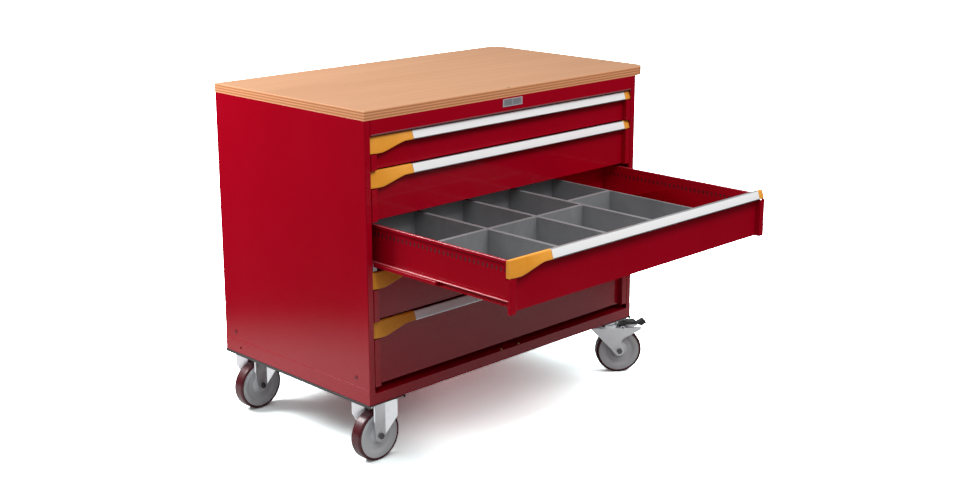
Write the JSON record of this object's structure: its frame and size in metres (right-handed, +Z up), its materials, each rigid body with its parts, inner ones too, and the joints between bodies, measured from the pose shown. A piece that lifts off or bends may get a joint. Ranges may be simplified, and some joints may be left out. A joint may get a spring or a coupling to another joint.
{
  "type": "mobile workbench with drawers",
  "caption": "Mobile steel drawer cabinet with a beech worktop, full-extension drawers with grip rails, and braked swivel and fixed castors.",
  "frame": {"origin": "centre of the bounding box of the whole object at rest, with one drawer pulled out, on the floor", "axes": "+X to the right when facing the drawers, +Y from the drawer fronts to the back, +Z up"},
  "size_m": [1.272, 1.277, 1.078],
  "materials": {
    "red_paint": "glossy powder coat",
    "beech_plywood": "clear oiled beech plywood",
    "handle_aluminium": "satin anodised, white label strip",
    "amber_plastic": "semi-gloss moulded",
    "zinc_steel": "zinc plated",
    "black_steel": "satin black",
    "tread_rubber": "dark red polyurethane",
    "core_nylon": "moulded nylon",
    "grey_tray": "moulded grey plastic",
    "white_nylon": "smooth",
    "plate_metal": "blank brushed plate"
  },
  "bodies": {
    "cabinet": {"worktop": "beech_plywood", "top_panel": "red_paint", "side_panel_left": "red_paint", "side_panel_right": "red_paint", "back_panel": "red_paint", "base_pan": "red_paint", "corner_posts": "red_paint", "name_plate": "plate_metal", "cabinet_slides": "zinc_steel", "slide_rollers": "white_nylon", "castor_beams": "black_steel", "fixed_castor_forks": "zinc_steel", "fixed_castor_axles": "zinc_steel", "swivel_plates": "zinc_steel", "fasteners": "zinc_steel"},
    "drawer_1": {"drawer_1_box": "red_paint", "drawer_1_front": "red_paint", "drawer_1_handle": "handle_aluminium", "drawer_1_cap": "amber_plastic"},
    "middle_1": {"drawer_1_slide_middles": "zinc_steel"},
    "latch_1": {"drawer_1_latch": "amber_plastic"},
    "drawer_2": {"drawer_2_box": "red_paint", "drawer_2_front": "red_paint", "drawer_2_handle": "handle_aluminium", "drawer_2_cap": "amber_plastic"},
    "middle_2": {"drawer_2_slide_middles": "zinc_steel"},
    "latch_2": {"drawer_2_latch": "amber_plastic"},
    "drawer_3": {"drawer_3_box": "red_paint", "drawer_3_front": "red_paint", "drawer_3_handle": "handle_aluminium", "drawer_3_cap": "amber_plastic", "drawer_3_trays": "grey_tray"},
    "middle_3": {"drawer_3_slide_middles": "zinc_steel"},
    "latch_3": {"drawer_3_latch": "amber_plastic"},
    "drawer_4": {"drawer_4_box": "red_paint", "drawer_4_front": "red_paint", "drawer_4_handle": "handle_aluminium", "drawer_4_cap": "amber_plastic"},
    "middle_4": {"drawer_4_slide_middles": "zinc_steel"},
    "latch_4": {"drawer_4_latch": "amber_plastic"},
    "drawer_5": {"drawer_5_box": "red_paint", "drawer_5_front": "red_paint", "drawer_5_handle": "handle_aluminium", "drawer_5_cap": "amber_plastic"},
    "middle_5": {"drawer_5_slide_middles": "zinc_steel"},
    "latch_5": {"drawer_5_latch": "amber_plastic"},
    "front_left_wheel": {"front_left_wheel_core": "core_nylon", "front_left_wheel_tread": "tread_rubber"},
    "rear_left_wheel": {"rear_left_wheel_core": "core_nylon", "rear_left_wheel_tread": "tread_rubber"},
    "front_right_swivel": {"front_right_fork": "zinc_steel", "front_right_axle": "zinc_steel"},
    "front_right_wheel": {"front_right_wheel_core": "core_nylon", "front_right_wheel_tread": "tread_rubber"},
    "front_right_pedal": {"front_right_pedal": "black_steel"},
    "rear_right_swivel": {"rear_right_fork": "zinc_steel", "rear_right_axle": "zinc_steel"},
    "rear_right_wheel": {"rear_right_wheel_core": "core_nylon", "rear_right_wheel_tread": "tread_rubber"},
    "rear_right_pedal": {"rear_right_pedal": "black_steel"}
  },
  "joints": [
    {"name": "drawer_1_slide", "type": "slide", "parent": "cabinet", "child": "drawer_1", "axis": [0, -1, 0], "range_m": [0, 0.61]},
    {"name": "middle_1_slide", "type": "slide", "parent": "cabinet", "child": "middle_1", "axis": [0, -1, 0], "range_m": [0, 0.305]},
    {"name": "latch_1_tilt", "type": "hinge", "parent": "drawer_1", "child": "latch_1", "pos_m": [-0.5925, -0.0745, 0.987], "axis": [0, 1, 0], "range_deg": [0, 2.5], "stiffness_Nm_per_rad": 1.5, "springref_deg": -5},
    {"name": "drawer_2_slide", "type": "slide", "parent": "cabinet", "child": "drawer_2", "axis": [0, -1, 0], "range_m": [0, 0.61]},
    {"name": "middle_2_slide", "type": "slide", "parent": "cabinet", "child": "middle_2", "axis": [0, -1, 0], "range_m": [0, 0.305]},
    {"name": "latch_2_tilt", "type": "hinge", "parent": "drawer_2", "child": "latch_2", "pos_m": [-0.5925, -0.0745, 0.887], "axis": [0, 1, 0], "range_deg": [0, 2.5], "stiffness_Nm_per_rad": 1.5, "springref_deg": -5},
    {"name": "drawer_3_slide", "type": "slide", "parent": "cabinet", "child": "drawer_3", "axis": [0, -1, 0], "range_m": [-0.55, 0.06]},
    {"name": "middle_3_slide", "type": "slide", "parent": "cabinet", "child": "middle_3", "axis": [0, -1, 0], "range_m": [-0.275, 0.03]},
    {"name": "latch_3_tilt", "type": "hinge", "parent": "drawer_3", "child": "latch_3", "pos_m": [-0.5925, -0.6245, 0.737], "axis": [0, 1, 0], "range_deg": [0, 2.5], "stiffness_Nm_per_rad": 1.5, "springref_deg": -5},
    {"name": "drawer_4_slide", "type": "slide", "parent": "cabinet", "child": "drawer_4", "axis": [0, -1, 0], "range_m": [0, 0.61]},
    {"name": "middle_4_slide", "type": "slide", "parent": "cabinet", "child": "middle_4", "axis": [0, -1, 0], "range_m": [0, 0.305]},
    {"name": "latch_4_tilt", "type": "hinge", "parent": "drawer_4", "child": "latch_4", "pos_m": [-0.5925, -0.0745, 0.587], "axis": [0, 1, 0], "range_deg": [0, 2.5], "stiffness_Nm_per_rad": 1.5, "springref_deg": -5},
    {"name": "drawer_5_slide", "type": "slide", "parent": "cabinet", "child": "drawer_5", "axis": [0, -1, 0], "range_m": [0, 0.61]},
    {"name": "middle_5_slide", "type": "slide", "parent": "cabinet", "child": "middle_5", "axis": [0, -1, 0], "range_m": [0, 0.305]},
    {"name": "latch_5_tilt", "type": "hinge", "parent": "drawer_5", "child": "latch_5", "pos_m": [-0.5925, -0.0745, 0.437], "axis": [0, 1, 0], "range_deg": [0, 2.5], "stiffness_Nm_per_rad": 1.5, "springref_deg": -5},
    {"name": "front_left_wheel_spin", "type": "hinge", "parent": "cabinet", "child": "front_left_wheel", "pos_m": [-0.5635, -0.0335, 0.08], "axis": [0, 1, 0], "continuous": true},
    {"name": "rear_left_wheel_spin", "type": "hinge", "parent": "cabinet", "child": "rear_left_wheel", "pos_m": [-0.5635, 0.5595, 0.08], "axis": [0, 1, 0], "continuous": true},
    {"name": "front_right_swivel_turn", "type": "hinge", "parent": "cabinet", "child": "front_right_swivel", "pos_m": [0.5035, -0.0335, 0.17], "axis": [0, 0, 1], "continuous": true},
    {"name": "front_right_wheel_spin", "type": "hinge", "parent": "front_right_swivel", "child": "front_right_wheel", "pos_m": [0.53817, -0.06059, 0.08], "axis": [0.6157, 0.788, 0], "continuous": true},
    {"name": "front_right_pedal_tilt", "type": "hinge", "parent": "front_right_swivel", "child": "front_right_pedal", "pos_m": [0.54605, -0.06675, 0.166], "axis": [0.6157, 0.788, 0], "range_deg": [0, 10]},
    {"name": "rear_right_swivel_turn", "type": "hinge", "parent": "cabinet", "child": "rear_right_swivel", "pos_m": [0.5035, 0.5595, 0.17], "axis": [0, 0, 1], "continuous": true},
    {"name": "rear_right_wheel_spin", "type": "hinge", "parent": "rear_right_swivel", "child": "rear_right_wheel", "pos_m": [0.53954, 0.53426, 0.08], "axis": [0.5736, 0.8192, 0], "continuous": true},
    {"name": "rear_right_pedal_tilt", "type": "hinge", "parent": "rear_right_swivel", "child": "rear_right_pedal", "pos_m": [0.54773, 0.52853, 0.166], "axis": [0.5736, 0.8192, 0], "range_deg": [0, 10]}
  ],
  "couplings": [
    {"joint": "middle_1_slide", "follows": "drawer_1_slide", "ratio": 0.5},
    {"joint": "middle_2_slide", "follows": "drawer_2_slide", "ratio": 0.5},
    {"joint": "middle_3_slide", "follows": "drawer_3_slide", "ratio": 0.5},
    {"joint": "middle_4_slide", "follows": "drawer_4_slide", "ratio": 0.5},
    {"joint": "middle_5_slide", "follows": "drawer_5_slide", "ratio": 0.5}
  ]
}
